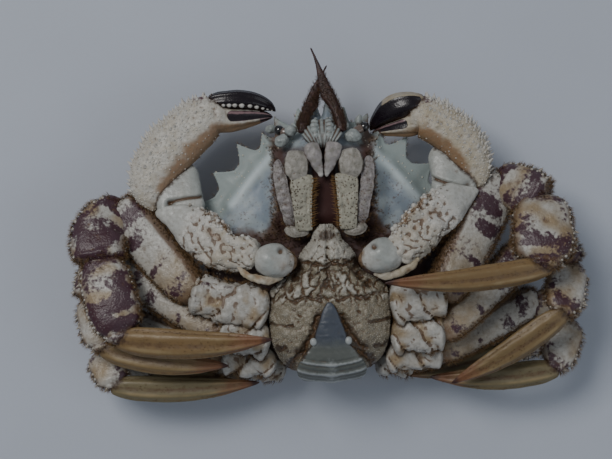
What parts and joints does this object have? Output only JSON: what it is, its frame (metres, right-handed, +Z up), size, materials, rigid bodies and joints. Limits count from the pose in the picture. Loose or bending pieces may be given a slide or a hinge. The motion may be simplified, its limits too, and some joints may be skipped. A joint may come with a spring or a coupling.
{
  "type": "helmet crab",
  "caption": "Life-size still model of a helmet crab lying on its back, limbs folded over its underside.",
  "frame": {"origin": "on the floor, under the middle of the whole crab's bounding box", "axes": "+Z up through the crab's underside, +Y the way its front points, +X across it; -X is its own right-hand side, because it lies on its back"},
  "size_m": [0.1732, 0.1156, 0.0448],
  "materials": {
    "carapace_shell": "dull pale shell, blue-white towards the mouth",
    "belly_shell": "rough cream shell with brown hair in its seams",
    "claw_shell": "cream shell with pale spines",
    "leg_shell": "pale shell with purple blotches",
    "leg_tip_horn": "ribbed golden-brown horn with dark tips",
    "claw_finger": "smooth purple-black horn with white teeth",
    "eye": "shiny black",
    "antenna": "dark brown, haired"
  },
  "bodies": {
    "root": {"abdomen": "belly_shell", "antenna_left": "antenna", "antenna_right": "antenna", "carapace": "carapace_shell", "claw_base_left": "claw_shell", "claw_base_right": "claw_shell", "claw_carpus_left": "claw_shell", "claw_carpus_right": "claw_shell", "claw_finger_left": "claw_finger", "claw_finger_right": "claw_finger", "claw_merus_left": "claw_shell", "claw_merus_right": "claw_shell", "claw_palm_left": "claw_shell", "claw_palm_right": "claw_shell", "epistome": "belly_shell", "eye_left": "eye", "eye_right": "eye", "leg1_base_left": "leg_shell", "leg1_base_right": "leg_shell", "leg1_carpus_left": "leg_shell", "leg1_carpus_right": "leg_shell", "leg1_dactylus_left": "leg_tip_horn", "leg1_dactylus_right": "leg_tip_horn", "leg1_merus_left": "leg_shell", "leg1_merus_right": "leg_shell", "leg1_propodus_left": "leg_shell", "leg1_propodus_right": "leg_shell", "leg2_base_left": "leg_shell", "leg2_base_right": "leg_shell", "leg2_carpus_left": "leg_shell", "leg2_carpus_right": "leg_shell", "leg2_dactylus_left": "leg_tip_horn", "leg2_dactylus_right": "leg_tip_horn", "leg2_merus_left": "leg_shell", "leg2_merus_right": "leg_shell", "leg2_propodus_left": "leg_shell", "leg2_propodus_right": "leg_shell", "leg3_base_left": "leg_shell", "leg3_base_right": "leg_shell", "leg3_carpus_left": "leg_shell", "leg3_carpus_right": "leg_shell", "leg3_dactylus_left": "leg_tip_horn", "leg3_dactylus_right": "leg_tip_horn", "leg3_merus_left": "leg_shell", "leg3_merus_right": "leg_shell", "leg3_propodus_left": "leg_shell", "leg3_propodus_right": "leg_shell", "leg4_base_left": "leg_shell", "leg4_base_right": "leg_shell", "leg4_carpus_left": "leg_shell", "leg4_carpus_right": "leg_shell", "leg4_dactylus_left": "leg_tip_horn", "leg4_dactylus_right": "leg_tip_horn", "leg4_merus_left": "leg_shell", "leg4_merus_right": "leg_shell", "leg4_propodus_left": "leg_shell", "leg4_propodus_right": "leg_shell", "maxilliped_left": "belly_shell", "maxilliped_right": "belly_shell", "sternum": "belly_shell"}
  },
  "joints": []
}
